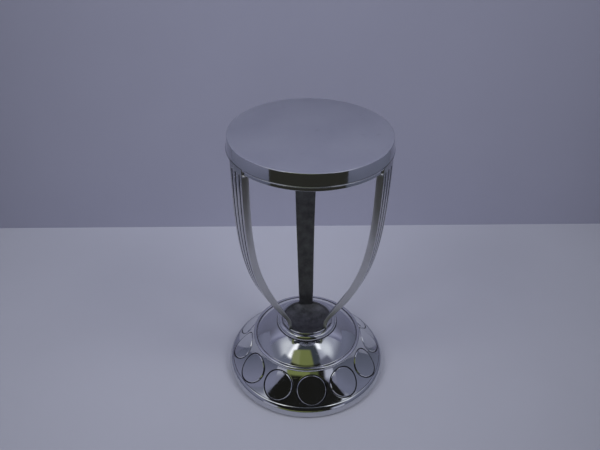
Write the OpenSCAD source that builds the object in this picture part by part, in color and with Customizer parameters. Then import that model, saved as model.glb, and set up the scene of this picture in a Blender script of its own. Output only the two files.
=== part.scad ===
// Tabletop pedestal stand: a round polished plate carried by three bowed, reeded legs
// that stand in the hub of a domed foot, with a ring of round medallions set into its flare.
//
// The origin is the centre of the foot on the surface it stands on. +Z is up and the rear
// leg is on +Y. The foot is one clamped stack: a stud threaded into the hub passes down
// through the shell and a ballast plate, and its nut pulls them against the foot ring.

/* [Overall] */
// Height of the top face above the table
stand_h = 363; // [355:1:372]
// Diameter of the round top plate, across the foot of its skirt
top_d = 194; // [190:1:200]
// Diameter of the foot
foot_d = 220; // [218:1:228]

/* [Top plate] */
// Thickness of the spun sheet of the plate and of the foot shell
sheet_t = 2; // [1.6:0.2:2.2]
// Height of the plate's skirt, from the top face down to the bead
skirt_h = 14.6; // [14:0.2:16]
// How much farther out the foot of the skirt is than its top
skirt_taper = 1.5; // [0:0.1:2]
// Radius of the edge between the top face and the skirt
edge_r = 0.8; // [0.4:0.1:1.6]
// Depth of the lip of the carrier ring below the bead
lip_h = 5.2; // [4:0.2:7]

/* [Legs] */
// Width of a leg just under the plate
leg_top_w = 29.6; // [27:0.2:31]
// Width of a leg at its foot
leg_foot_w = 16.8; // [16:0.2:18]
// Extra width halfway down a leg, over a straight taper
leg_bulge = 2.6; // [0:0.1:3]
// Share by which a leg is wider at its inner face and narrower at its outer face
leg_splay = 0.07; // [0:0.01:0.1]
// Number of grooves down the outer face of a leg
grooves = 3; // [1:1:3]
// Width of a groove at its top
groove_w = 2.2; // [1.4:0.2:2.6]
// Depth of a groove
groove_depth = 1.4; // [0.6:0.2:1.8]

/* [Foot] */
// Number of medallions around the flare
medallions = 12; // [9:1:12]
// Diameter of a medallion
medallion_d = 39; // [36:0.2:40]
// Diameter of the round recess that a medallion sits in
recess_d = 41; // [40.4:0.2:41.6]
// Angle by which the ring of medallions is turned against the legs
medallion_turn = 1.8; // [0:0.1:5]
// Distance of a medallion's centre down the slope from the middle of the flare
medallion_drop = 1.6; // [0:0.2:2]
// Rise of the dome's outline over a straight line
dome_rise = 1.8; // [0.5:0.1:2.5]
// Hollow of the flare's outline under a straight line
flare_hollow = 3; // [2.6:0.1:3.2]

/* [Hidden] */
$fn = 96;
gap = 0.2;                    // running clearance between separate pieces
steps = 12;                   // straight pieces in one curved stretch of an outline
leg_angles = [90, 210, 330];  // rear, left and right
mid_angles = [30, 150, 270];  // halfway between the legs

// Top plate and carrier ring, from the top down
plate_r = top_d / 2;
plate_top_r = plate_r - skirt_taper;
plate_in_z = stand_h - sheet_t;
bead_top_z = stand_h - skirt_h;
bead_r = plate_r + 0.6;
bead_h = 1.4;
bead_in = (bead_h - gap) / 2;   // radius of the bead's round edge
web_z = bead_top_z - bead_h;
web_t = 4;
lip_z = web_z - lip_h;
lip_top_r = plate_r - 1.4;
lip_foot_r = plate_r - 1.6;
upstand_out_r = plate_r - sheet_t - skirt_taper / 2 - 0.3;
upstand_in_r = upstand_out_r - 3.2;
upstand_top_z = bead_top_z + 5;
web_in_r = 56;

// Fasteners that hold the plate to the web, and the legs to the web
boss_circle_r = 66;
boss_r = 5;
plate_screw_r = 2;
plate_screw_len = 12;
pad_t = 5;
pad_len = 18;
head_screw_r = 2.5;
head_screw_circle_r = 80;

// Legs: the outer and the inner outline are each one long bow and one knee
leg_head_r = plate_r + 0.3;
leg_head_t = 8.4;
leg_foot_t = 5.7;
leg_foot_r = 34.3;
knee_z = 102;
knee_out_r = 40.5;
knee_in_r = 34;
seat_z = 68;
leg_back_w = leg_top_w * (1 + leg_splay);
leg_head_z = bead_top_z - gap;
bow_h = leg_head_z - knee_z;
shoulder_h = 6;
shoulder_w = 0.7;
groove_pitch = 0.31;          // share of the leg's width from one groove to the next
groove_top_z = lip_z - 1;
groove_end_z = 150;
groove_fade = 50;

// Hub, from its underside up
hub_z = 60;
hub_r = 34.4;
hub_rim_z = 80.5;
hub_rim_w = 3.4;
dish_z = 70;
slot_gap = 1.2;
boss_stud_r = 12;
boss_stud_z = 46;
foot_screw_r = 1.5;
foot_screw_circle_r = 31.2;
foot_screw_pitch = 9;
foot_screw_head_r = 2.5;
foot_screw_head_h = 2.6;

// Foot shell: neck, shoulder, dome, bead ring and flare
neck_r = hub_r + 0.3;
neck_wall = 2;
shoulder_z = 73.6;
collar_r = 41;
bead_ring_in = [70.3, 53.6];
bead_ring_out = [74.1, 51.1];
rim_r = foot_d / 2 - 5.6;
rim_z = 16;
seat_flange_t = 2;
seat_flange_in_r = 15;

// Medallions: their place on the flare and the direction they face
flare_run = rim_r - bead_ring_out[0];
flare_drop = bead_ring_out[1] - rim_z;
flare_tilt = atan2(flare_drop, flare_run);
medallion_r = bead_ring_out[0] + flare_run / 2 - flare_hollow * sin(flare_tilt)
    + medallion_drop * cos(flare_tilt);
medallion_z = rim_z + flare_drop / 2 - flare_hollow * cos(flare_tilt)
    - medallion_drop * sin(flare_tilt);
recess_depth = 1.1;
medallion_edge_h = 0.3;       // height of a medallion's edge over the flare's surface
medallion_face_h = 0.8;
medallion_step = 0.8;         // how much smaller the face is than the edge around it
spigot_r = 4;
spigot_head_r = 5.4;
spigot_head_h = 1.3;

// Foot ring, ballast and the stack below
ring_low_z = 0.8;
ring_mid_z = 5.7;
ring_in_r = 92;
ring_flange = [5, 8];
ring_wall_r = 101.5;
ring_ledge_z = 13.6;
ballast_r = 80;
ballast_top_z = 20;
ballast_flange_r = ring_wall_r - 5;
stud_r = 5;
stud_top_z = 64;
nut_pocket_z = 15;
nut_pocket_r = 14;
nut_h = 8;
nut_w = 17;
washer_t = 1.6;
washer_r = 12;
cover_t = 1.5;
cover_z = ring_flange[0] - cover_t;
cover_r = 103.2;
cover_screw_circle_r = 72;
cover_screw_r = 2;
cover_screw_head_h = 1.9;
felt_r = [82, 100];

medallion_names = [for (i = [1:medallions]) str("medallion_", i < 10 ? "0" : "", i)];

// ---- Outline functions -------------------------------------------------------------

// Point of a cubic Bezier curve with control points p, at t from 0 to 1
function bezier(p, t) =
    pow(1 - t, 3) * p[0] + 3 * pow(1 - t, 2) * t * p[1]
    + 3 * (1 - t) * t * t * p[2] + pow(t, 3) * p[3];

// A whole cubic Bezier curve as n + 1 points
function bezier_path(p, n) = [for (i = [0:n]) bezier(p, i / n)];

// A shallow arc from a to b that stands off the straight line by rise, to its left
function bow(a, b, rise, n = steps) =
    let (d = b - a, side = [-d[1], d[0]] / norm(d))
    [for (i = [0:n]) let (t = i / n) a + d * t + side * rise * 4 * t * (1 - t)];

// Centre of the circular arc from a to b that stands off the straight line by rise
function arc_centre(a, b, rise) =
    let (d = b - a, side = [-d[1], d[0]] / norm(d), half = norm(d) / 2)
    (a + b) / 2 + side * (rise / 2 - half * half / (2 * rise));

// Points of an ellipse about c, from angle a0 to a1
function ellipse_path(c, rx, ry, a0, a1, n = steps) =
    [for (i = [0:n]) let (a = a0 + (a1 - a0) * i / n) c + [rx * cos(a), ry * sin(a)]];

// The list without its first item, and the list in reverse order
function tail(list) = [for (i = [1:len(list) - 1]) list[i]];
function reversed(list) = [for (i = [len(list) - 1:-1:0]) list[i]];

// ---- Legs --------------------------------------------------------------------------

// Outline of a leg seen from the side, as [radius, height]
leg_outer = concat(
    bezier_path([[leg_head_r, leg_head_z], [leg_head_r, leg_head_z - 0.63 * bow_h],
                 [78.8, knee_z + 0.258 * bow_h], [knee_out_r, knee_z]], 2 * steps),
    tail(bezier_path([[knee_out_r, knee_z], [leg_foot_r + 1, knee_z - 8.6],
                      [leg_foot_r, knee_z - 16], [leg_foot_r, knee_z - 26]], steps)),
    [[leg_foot_r, seat_z]]
);
leg_inner = concat(
    bezier_path([[leg_head_r - leg_head_t, leg_head_z],
                 [leg_head_r - leg_head_t, leg_head_z - 0.5 * bow_h],
                 [82.5, knee_z + 0.372 * bow_h], [knee_in_r, knee_z]], 2 * steps),
    tail(bezier_path([[knee_in_r, knee_z], [leg_foot_r - leg_foot_t + 1, knee_z - 8.3],
                      [leg_foot_r - leg_foot_t, knee_z - 14],
                      [leg_foot_r - leg_foot_t, knee_z - 24]], steps)),
    [[leg_foot_r - leg_foot_t, seat_z]]
);

// Width of a leg at height z
function leg_w(z) =
    let (s = min(1, max(0, (z - seat_z) / (leg_head_z - seat_z))))
    leg_foot_w + (leg_top_w - leg_foot_w) * s + leg_bulge * 4 * s * (1 - s);
function face_w(z) = leg_w(z) * (1 - leg_splay);
function back_w(z) = leg_w(z) * (1 + leg_splay);

// Depth of the grooves at height z: full at the top, running out towards the end
function groove_at(z) = groove_depth * max(-0.3, min(1, (z - groove_end_z) / groove_fade));

// The outer outline moved inwards by the depth of the grooves
groove_floor = [for (i = [1:len(leg_outer) - 2])
    let (d = leg_outer[i + 1] - leg_outer[i - 1], inward = [d[1], -d[0]] / norm(d))
    leg_outer[i] + inward * groove_at(leg_outer[i][1])];

// Extrude an outline drawn as [radius, height] to a width w across the leg
module from_side(w) rotate([90, 0, 0]) linear_extrude(height = w, center = true) children();

// Extrude an outline drawn as [across, height] outwards along the radius
module from_front() rotate([90, 0, 90]) linear_extrude(height = leg_head_r + 20) children();

// Outline seen from the front, centred on share c of the outer face's width and k of it wide
module front_strip(c, k, low, high) {
    rows = [for (i = [0:2 * steps]) low + (high - low) * i / (2 * steps)];
    polygon(concat(
        [for (z = rows) [(c - k / 2) * face_w(z), z]],
        [for (z = reversed(rows)) [(c + k / 2) * face_w(z), z]]
    ));
}

module groove_cut(c) intersection() {
    from_side(2 * leg_top_w) polygon(concat(
        groove_floor, [[leg_head_r + 15, groove_end_z - 80], [leg_head_r + 15, leg_head_z]]
    ));
    from_front() front_strip(c, groove_w / leg_top_w, groove_end_z - 20, groove_top_z);
}

// The plain bar of a leg: four corners at every step down, outer ones first
module leg_bar() {
    last = len(leg_outer) - 1;
    corners = [for (i = [0:last])
        let (o = leg_outer[i], n = leg_inner[i], a = face_w(o[1]) / 2, b = back_w(n[1]) / 2)
        each [[o[0], -a, o[1]], [o[0], a, o[1]], [n[0], b, n[1]], [n[0], -b, n[1]]]];
    flats = [for (i = [0:last - 1], k = [0, 2])
        [4 * i + k, 4 * i + k + 1, 4 * i + k + 5, 4 * i + k + 4]];
    sides = [for (i = [0:last - 1], k = [1, 3])
        let (q = [4 * i + k, 4 * i + (k + 1) % 4, 4 * i + (k + 1) % 4 + 4, 4 * i + k + 4])
        each [[q[0], q[1], q[2]], [q[0], q[2], q[3]]]];
    ends = [[0, 3, 2, 1], [4 * last, 4 * last + 1, 4 * last + 2, 4 * last + 3]];
    polyhedron(points = corners, faces = concat(flats, sides, ends));
}

// One leg, standing on +X
module leg() difference() {
    union() {
        leg_bar();
        // Shoulder just under the lip
        translate([leg_head_r - leg_head_t - 0.3, -leg_back_w / 2 - shoulder_w, lip_z - shoulder_h])
            cube([leg_head_t, leg_back_w + 2 * shoulder_w, shoulder_h - gap]);
        // Pad that reaches inwards under the web
        translate([leg_head_r - leg_head_t - pad_len, -leg_foot_w / 2, web_z - pad_t])
            cube([pad_len + 3, leg_foot_w, pad_t]);
        translate([leg_head_r - leg_head_t, leg_foot_w / 2, web_z - pad_t])
            rotate([90, 0, 0]) linear_extrude(height = leg_foot_w)
            polygon([[1, 0], [-5, 0], [1, -12]]);
    }
    for (k = [0:grooves - 1]) groove_cut((k - (grooves - 1) / 2) * groove_pitch);
    translate([head_screw_circle_r, 0, web_z - pad_t - 1])
        cylinder(h = pad_t + 2, r = head_screw_r + 0.25);
    for (y = [-1, 1] * foot_screw_pitch / 2)
        translate([foot_screw_circle_r, y, seat_z - 1]) cylinder(h = 10, r = foot_screw_r);
    // Room for the web, the upstand and the lip above and behind the head
    translate([0, -leg_top_w, web_z]) cube([upstand_out_r + gap, 2 * leg_top_w, 20]);
}

module leg_rear() color("gainsboro") rotate(leg_angles[0]) leg();
module leg_left() color("gainsboro") rotate(leg_angles[1]) leg();
module leg_right() color("gainsboro") rotate(leg_angles[2]) leg();

// A screw with a round head below and its shank pointing up, standing at z
module screw_up(z, shank_r, shank_len, head_r, head_h) {
    translate([0, 0, z]) cylinder(h = shank_len, r = shank_r);
    translate([0, 0, z - head_h]) difference() {
        cylinder(h = head_h, r = head_r);
        translate([0, 0, -1]) cylinder(h = 1 + head_h / 2, r = shank_r * 0.7, $fn = 6);
    }
}

module leg_head_screws() color("dimgray") for (a = leg_angles)
    rotate(a) translate([head_screw_circle_r, 0, 0])
        screw_up(web_z - pad_t, head_screw_r - 0.05, pad_t + web_t - 0.5, 4.5, 3.2);

module leg_foot_screws() color("dimgray") for (a = leg_angles, y = [-1, 1] * foot_screw_pitch / 2)
    rotate(a) translate([foot_screw_circle_r, y, 0])
        screw_up(seat_z - 4, foot_screw_r - 0.05, 12, foot_screw_head_r, foot_screw_head_h);

// ---- Top ---------------------------------------------------------------------------

module top_plate() color("lightsteelblue") rotate_extrude() difference() {
    polygon(concat(
        [[0, bead_top_z], [plate_r, bead_top_z]],
        ellipse_path([plate_top_r - edge_r, stand_h - edge_r], edge_r, edge_r, 0, 90, 6),
        [[0, stand_h]]
    ));
    polygon([
        [-1, bead_top_z - 1], [plate_r - sheet_t, bead_top_z - 1], [plate_r - sheet_t, bead_top_z],
        [plate_top_r - sheet_t, plate_in_z], [-1, plate_in_z]
    ]);
}

module plate_bosses() color("silver") for (a = mid_angles)
    rotate(a) translate([boss_circle_r, 0, web_z + web_t]) difference() {
        cylinder(h = plate_in_z - web_z - web_t, r = boss_r);
        translate([0, 0, -1]) cylinder(h = 1 + plate_screw_len - web_t, r = plate_screw_r);
    }

module plate_screws() color("dimgray") for (a = mid_angles)
    rotate(a) translate([boss_circle_r, 0, 0])
        screw_up(web_z, plate_screw_r - 0.05, plate_screw_len - 0.5, 3.8, 2.6);

// Carrier ring: web, upstand inside the skirt, bead under the skirt and lip below
module carrier_ring() color("gainsboro") difference() {
    rotate_extrude() union() {
        polygon([
            [web_in_r, web_z], [upstand_in_r, web_z], [upstand_in_r + 1, lip_z],
            [lip_foot_r, lip_z], [lip_top_r, web_z], [bead_r - bead_in, web_z],
            [bead_r - bead_in, web_z + 2 * bead_in], [upstand_out_r, web_z + 2 * bead_in],
            [upstand_out_r, upstand_top_z], [upstand_in_r, upstand_top_z],
            [upstand_in_r, web_z + web_t], [web_in_r, web_z + web_t]
        ]);
        translate([bead_r - bead_in, web_z + bead_in]) circle(r = bead_in);
    }
    for (a = leg_angles) rotate(a) {
        // Opening for the head of a leg
        translate([upstand_in_r - 5, -leg_back_w / 2 - gap, lip_z - 1])
            cube([20, leg_back_w + 2 * gap, web_z - lip_z + 1]);
        translate([upstand_out_r, -leg_back_w / 2 - gap, lip_z - 1])
            cube([20, leg_back_w + 2 * gap, lip_h + bead_h + 2]);
        translate([head_screw_circle_r, 0, web_z - 1]) cylinder(h = web_t + 2, r = head_screw_r);
    }
    for (a = mid_angles) rotate(a) translate([boss_circle_r, 0, web_z - 1])
        cylinder(h = web_t + 2, r = plate_screw_r + 0.25);
}

// ---- Hub and collar ----------------------------------------------------------------

module hub() color("dimgray") difference() {
    rotate_extrude() union() {
        difference() {
            translate([0, hub_z]) square([hub_r, hub_rim_z - hub_rim_w / 2 - hub_z]);
            // Dish of the cup, one shallow hollow up to the rim
            polygon(concat(
                [[-1, hub_rim_z + 1], [-1, dish_z]],
                bow([0, dish_z], [hub_r - hub_rim_w, hub_rim_z - hub_rim_w / 2], -2.2),
                [[hub_r - hub_rim_w, hub_rim_z + 1]]
            ));
        }
        translate([hub_r - hub_rim_w / 2, hub_rim_z - hub_rim_w / 2]) circle(r = hub_rim_w / 2);
        translate([0, boss_stud_z]) square([boss_stud_r, hub_z - boss_stud_z + 1]);
    }
    for (a = leg_angles) rotate(a) {
        // Slot for the foot of a leg
        translate([leg_foot_r - leg_foot_t - gap, -leg_foot_w / 2 - slot_gap, seat_z])
            cube([20, leg_foot_w + 2 * slot_gap, 30]);
        for (y = [-1, 1] * foot_screw_pitch / 2) translate([foot_screw_circle_r, y, hub_z - 1]) {
            cylinder(h = seat_z - hub_z + 2, r = foot_screw_r + 0.2);
            cylinder(h = seat_z - hub_z - 3, r = foot_screw_head_r + 0.2);
        }
    }
    translate([0, 0, boss_stud_z - 1]) cylinder(h = stud_top_z + 2 - boss_stud_z, r = stud_r);
}

// Half-round moulding that covers the joint between hub and shell
module neck_collar() color("gainsboro") rotate_extrude() intersection() {
    translate([collar_r - 5, shoulder_z + 0.7]) circle(r = 5.05);
    translate([neck_r + gap, shoulder_z]) square(10);
}

// ---- Foot shell --------------------------------------------------------------------

dome_start = [collar_r, shoulder_z];
flare_end = [rim_r, rim_z];

// Places something on the flare at medallion i, facing outwards
module on_flare(i) rotate(270 + medallion_turn + i * 360 / medallions)
    translate([medallion_r, 0, medallion_z]) rotate([0, flare_tilt, 0]) children();

// Curved sheet between the rays from c to a and to b, from radius r0 to r1 about c
module arc_band(c, r0, r1, a, b) intersection() {
    translate(c) difference() {
        circle(r = r1, $fn = 360);
        circle(r = r0, $fn = 360);
    }
    polygon([c, c + (a - c) * 1.2, c + (b - c) * 1.2]);
}

dome_c = arc_centre(dome_start, bead_ring_in, dome_rise);
dome_rho = norm(dome_start - dome_c);
flare_c = arc_centre(bead_ring_out, flare_end, -flare_hollow);
flare_rho = norm(flare_end - flare_c);

module shell_profile() {
    translate([neck_r, hub_z - seat_flange_t]) square([neck_wall, shoulder_z - hub_z + seat_flange_t]);
    translate([seat_flange_in_r, hub_z - seat_flange_t])
        square([neck_r - seat_flange_in_r + 1, seat_flange_t]);
    translate([neck_r, shoulder_z - sheet_t]) square([collar_r - neck_r, sheet_t]);
    arc_band(dome_c, dome_rho - sheet_t, dome_rho, dome_start, bead_ring_in);
    translate((bead_ring_in + bead_ring_out) / 2)
        circle(r = norm(bead_ring_out - bead_ring_in) / 2 + sheet_t / 4);
    arc_band(flare_c, flare_rho, flare_rho + sheet_t, bead_ring_out, flare_end);
}

// A layer of the flare between two heights over its outer surface
module flare_layer(low, high) rotate_extrude()
    arc_band(flare_c, flare_rho - high, flare_rho - low, bead_ring_out, flare_end);

// A round piece of that layer, centred on medallion i
module flare_disc(i, r, low, high) intersection() {
    flare_layer(low, high);
    on_flare(i) cylinder(h = 20, r = r, center = true);
}

module base_shell() color("gainsboro") difference() {
    rotate_extrude() shell_profile();
    for (i = [0:medallions - 1]) {
        flare_disc(i, recess_d / 2, -recess_depth, 1);
        on_flare(i) cylinder(h = 10, r = spigot_r + gap, center = true);
    }
}

// A disc that follows the flare, with a stepped edge and a spigot peened over behind the shell
module medallion(i) color("white") {
    flare_disc(i, medallion_d / 2, -recess_depth, medallion_edge_h);
    flare_disc(i, medallion_d / 2 - medallion_step, 0, medallion_face_h);
    on_flare(i) translate([0, 0, -sheet_t - gap - 0.1])
        cylinder(h = sheet_t + gap - recess_depth / 2, r = spigot_r);
    on_flare(i) translate([0, 0, -sheet_t - gap - spigot_head_h])
        cylinder(h = spigot_head_h, r = spigot_head_r);
}

// ---- Foot ring and the stack below -------------------------------------------------

module foot_ring() color("gainsboro") rotate_extrude() polygon(concat(
    [[ring_in_r, ring_flange[0]], [ring_in_r, ring_flange[1]], [ring_wall_r, ring_flange[1]],
     [ring_wall_r, ring_ledge_z], [rim_r + gap, ring_ledge_z]],
    ellipse_path([rim_r - 1.6, ring_mid_z], 7.2, 10.4, 75, 0),
    ellipse_path([foot_d / 2 - 3, ring_mid_z], 3, ring_mid_z - ring_low_z, -20, -90, 6),
    [[cover_r + 2, ring_low_z], [cover_r + 2 * gap, ring_low_z + 1],
     [cover_r + 2 * gap, ring_flange[0]]]
));

module ballast_plate() color("darkslategray") difference() {
    rotate_extrude() polygon([
        [stud_r + 0.5, ring_flange[0]], [ballast_flange_r, ring_flange[0]],
        [ballast_flange_r, ring_flange[1]], [ballast_r, ring_flange[1]],
        [ballast_r, ballast_top_z - 3], [ballast_r - 3, ballast_top_z], [stud_r + 0.5, ballast_top_z]
    ]);
    cylinder(h = nut_pocket_z, r = nut_pocket_r);
    for (a = mid_angles) rotate(a) translate([cover_screw_circle_r, 0, 0])
        cylinder(h = 14, r = cover_screw_r);
}

module centre_stud() color("silver") translate([0, 0, nut_pocket_z - washer_t - nut_h])
    cylinder(h = stud_top_z - nut_pocket_z + washer_t + nut_h, r = stud_r - 0.05);

module centre_washer() color("silver") translate([0, 0, nut_pocket_z - washer_t]) difference() {
    cylinder(h = washer_t, r = washer_r);
    translate([0, 0, -1]) cylinder(h = washer_t + 2, r = stud_r + 0.25);
}

module centre_nut() color("silver") translate([0, 0, nut_pocket_z - washer_t - nut_h]) difference() {
    cylinder(h = nut_h, r = nut_w / sqrt(3), $fn = 6);
    translate([0, 0, -1]) cylinder(h = nut_h + 2, r = stud_r);
}

module bottom_cover() color("dimgray") translate([0, 0, cover_z]) difference() {
    cylinder(h = cover_t, r = cover_r);
    for (a = mid_angles) rotate(a) translate([cover_screw_circle_r, 0, -1])
        cylinder(h = cover_t + 2, r = cover_screw_r + 0.25);
}

module cover_screws() color("silver") for (a = mid_angles)
    rotate(a) translate([cover_screw_circle_r, 0, 0])
        screw_up(cover_z, cover_screw_r - 0.05, 9, 3.8, cover_screw_head_h);

module felt_ring() color("darkgreen") difference() {
    cylinder(h = cover_z, r = felt_r[1]);
    translate([0, 0, -1]) cylinder(h = cover_z + 2, r = felt_r[0]);
}

// ---- Nodes -------------------------------------------------------------------------

top_plate();
plate_bosses();
plate_screws();
carrier_ring();
leg_rear();
leg_left();
leg_right();
leg_head_screws();
hub();
leg_foot_screws();
neck_collar();
base_shell();
for (i = [0:medallions - 1])
    medallion(i);
foot_ring();
ballast_plate();
centre_stud();
centre_washer();
centre_nut();
bottom_cover();
cover_screws();
felt_ring();
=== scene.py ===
"""Looks of the pedestal stand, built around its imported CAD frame.

Lengths in the outlines are millimetres, and MM turns them into Blender's metres.
Every visible metal piece is a fine mesh made here, because polished chrome shows any facet.
"""
import math

import bmesh
import bpy
from mathutils import Matrix, Vector


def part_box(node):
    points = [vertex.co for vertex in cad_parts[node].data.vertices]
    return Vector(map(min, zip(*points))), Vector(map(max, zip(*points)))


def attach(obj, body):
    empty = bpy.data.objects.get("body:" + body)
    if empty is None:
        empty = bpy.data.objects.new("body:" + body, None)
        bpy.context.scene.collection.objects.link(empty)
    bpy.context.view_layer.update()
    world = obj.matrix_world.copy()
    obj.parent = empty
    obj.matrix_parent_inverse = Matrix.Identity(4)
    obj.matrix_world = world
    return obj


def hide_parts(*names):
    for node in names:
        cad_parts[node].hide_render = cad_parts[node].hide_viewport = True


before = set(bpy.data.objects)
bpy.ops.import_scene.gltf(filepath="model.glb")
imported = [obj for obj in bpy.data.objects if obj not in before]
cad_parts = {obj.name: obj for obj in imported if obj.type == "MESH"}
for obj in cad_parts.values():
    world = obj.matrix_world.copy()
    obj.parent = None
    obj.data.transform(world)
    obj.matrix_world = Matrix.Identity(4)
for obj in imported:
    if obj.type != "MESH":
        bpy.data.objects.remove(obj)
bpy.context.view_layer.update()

MM = 0.001

# ---- Sizes, read from the frame ----


def half_width(node):
    """Outer radius of a round CAD node, in millimetres."""
    low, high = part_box(node)
    return (high.x - low.x) / 2 / MM


def low_z(node):
    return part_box(node)[0].z / MM


def high_z(node):
    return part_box(node)[1].z / MM


# Top plate: a pan of sheet with a skirt
PLATE_R = round(half_width("top_plate"), 1)
PLATE_TOP = high_z("top_plate")
SKIRT_Z = low_z("top_plate")
SHEET = 2.0
SKIRT_TAPER = 1.5
PLATE_TOP_R = PLATE_R - SKIRT_TAPER
EDGE_R = 0.8

# Carrier ring: a bead under the skirt, a web, a lip below it and an upstand inside the skirt
BEAD_R = PLATE_R + 0.6
BEAD_H = 1.4
BEAD_GAP = 0.2
WEB_Z = SKIRT_Z - BEAD_H
WEB_T = 4.0
WEB_IN_R = 56.0
LIP_Z = low_z("carrier_ring")
LIP_TOP_R = PLATE_R - 1.7
LIP_FOOT_R = PLATE_R - 1.3
NOTCH_GAP = 0.15
UPSTAND_OUT_R = PLATE_R - SHEET - SKIRT_TAPER / 2 - 0.3
UPSTAND_IN_R = UPSTAND_OUT_R - 3.2
UPSTAND_TOP = high_z("carrier_ring")

# Legs: each is a bowed bar with its head at the plate and its foot in the hub
LEG_ANGLES = {"leg_rear": 90.0, "leg_left": 210.0, "leg_right": 330.0}
SEAT_Z = low_z("leg_rear")
HEAD_Z = high_z("leg_rear")
HEAD_R = PLATE_R + 0.3
HEAD_T = 8.4
FOOT_R = 34.3
FOOT_T = 5.7
KNEE_Z = 102.0
KNEE_OUT_R = 40.5
KNEE_IN_R = 34.0
LEG_TOP_W = 29.6
LEG_FOOT_W = 16.8
LEG_BULGE = 2.6
LEG_SPLAY = 0.07
LEG_CORNER = 0.6
LEG_CROWN = 0.4
SHOULDER_H = 3.4
SHOULDER_W = 0.7
SHOULDER_EDGE = 0.5
PAD_LENGTH = 19.0
PAD_T = 5.0
# Grooves of the outer face: middles as shares of its width, then sizes
GROOVES = (-0.31, 0.0, 0.31)
GROOVE_W = 2.2
GROOVE_DEPTH = 1.4
GROOVE_TOP = LIP_Z - 1.0
GROOVE_END = 150.0
GROOVE_FADE = 50.0
# Half a groove's width is 1 across, and its full depth is 1
GROOVE_SHAPE = (
    (-1.25, 0.0), (-1.0, 0.12), (-0.8, 0.75), (-0.4, 0.97), (0.0, 1.0),
    (0.4, 0.97), (0.8, 0.75), (1.0, 0.12), (1.25, 0.0),
)

# Hub: a dished cup with a boss below it
HUB_Z = 60.0
HUB_R = half_width("hub")
RIM_TOP = high_z("hub")
RIM_W = 3.4
DISH_Z = 70.0
HUB_BOSS_R = 12.0
HUB_BOSS_Z = low_z("hub")
SLOT_GAP = 1.2

# Foot: collar, dome, bead ring and flare in one shell, and the ring that it stands in
COLLAR_R = 41.0
COLLAR_BEAD_R = 5.05
COLLAR_LIFT = 0.7
NECK_R = HUB_R + 0.3
SHOULDER_Z = low_z("neck_collar")
BEAD_RING_IN = (70.3, 53.6)
BEAD_RING_OUT = (74.1, 51.1)
FOOT_RING_R = half_width("foot_ring")
FLARE_END = (FOOT_RING_R - 5.6, 16.0)
DOME_RISE = 1.8
FLARE_HOLLOW = 3.0
SHELL_T = 2.0
SHELL_HOLE_R = 15.0

# Medallions, their recesses and the joint lines between the flare and its neighbours
MEDALLIONS = 12
BAY = 2 * math.pi / MEDALLIONS
MEDALLION_TURN = 1.8
MEDALLION_DROP = 1.6
MEDALLION_R = 19.5
MEDALLION_FACE = 0.7
MEDALLION_BEVEL = 0.9
MEDALLION_DOME = 0.5
MEDALLION_GAP = 0.1
RECESS_R = 20.5
RECESS_DEPTH = 1.1
RECESS_LIP = 0.4
RECESS_MOUTH_R = RECESS_R + RECESS_LIP
JOINT_LINE = 0.7

FELT_IN_R = 82.0
FELT_TOP = high_z("felt_ring")

# ---- Outlines ----


def arc(a, b, rise, n=32):
    """Points of the arc from a to b that stands off the straight line by rise, to its left."""
    a, b = Vector(a), Vector(b)
    d = b - a
    side = Vector((-d.y, d.x)).normalized()
    half = d.length / 2
    centre = (a + b) / 2 + side * (rise / 2 - half * half / (2 * rise))
    start, end = a - centre, b - centre
    sweep = start.angle_signed(end)
    return [tuple(centre + Matrix.Rotation(-sweep * i / n, 2) @ start) for i in range(n + 1)]


def rounded(corners, n=6):
    """An open outline with its corners rounded: each corner is (r, z) or (r, z, radius)."""
    points = []
    for i, corner in enumerate(corners):
        p = Vector(corner[:2])
        radius = corner[2] if len(corner) > 2 else 0
        if not radius or i in (0, len(corners) - 1):
            points.append(tuple(p))
            continue
        to_last = (Vector(corners[i - 1][:2]) - p).normalized()
        to_next = (Vector(corners[i + 1][:2]) - p).normalized()
        half = to_last.angle(to_next) / 2
        centre = p + (to_last + to_next).normalized() * (radius / math.sin(half))
        start = p + to_last * (radius / math.tan(half)) - centre
        end = p + to_next * (radius / math.tan(half)) - centre
        sweep = start.angle_signed(end)
        points += [tuple(centre + Matrix.Rotation(-sweep * k / n, 2) @ start) for k in range(n + 1)]
    return points


def ellipse(centre, rx, rz, first, last, n=24):
    """Points of an ellipse from angle first to angle last, in degrees."""
    angles = [math.radians(first + (last - first) * i / n) for i in range(n + 1)]
    return [(centre[0] + rx * math.cos(a), centre[1] + rz * math.sin(a)) for a in angles]


def bezier(p, t):
    """Point at t, from 0 to 1, of the curve with the four control points p."""
    s = 1 - t
    return tuple(
        s**3 * p[0][k] + 3 * s * s * t * p[1][k] + 3 * s * t * t * p[2][k] + t**3 * p[3][k]
        for k in (0, 1)
    )


def smooth(x):
    """A soft step from 0 to 1 while x goes from 0 to 1."""
    x = min(1.0, max(0.0, x))
    return x * x * (3 - 2 * x)


# ---- Meshes ----


def polar(r, angle, z):
    """Point in metres for a radius and a height in millimetres."""
    return Vector((r * math.cos(angle), r * math.sin(angle), z)) * MM


SMALLEST = 0.002 * MM
ON_AXIS = 1e-6
SHARP = 38.0


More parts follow.
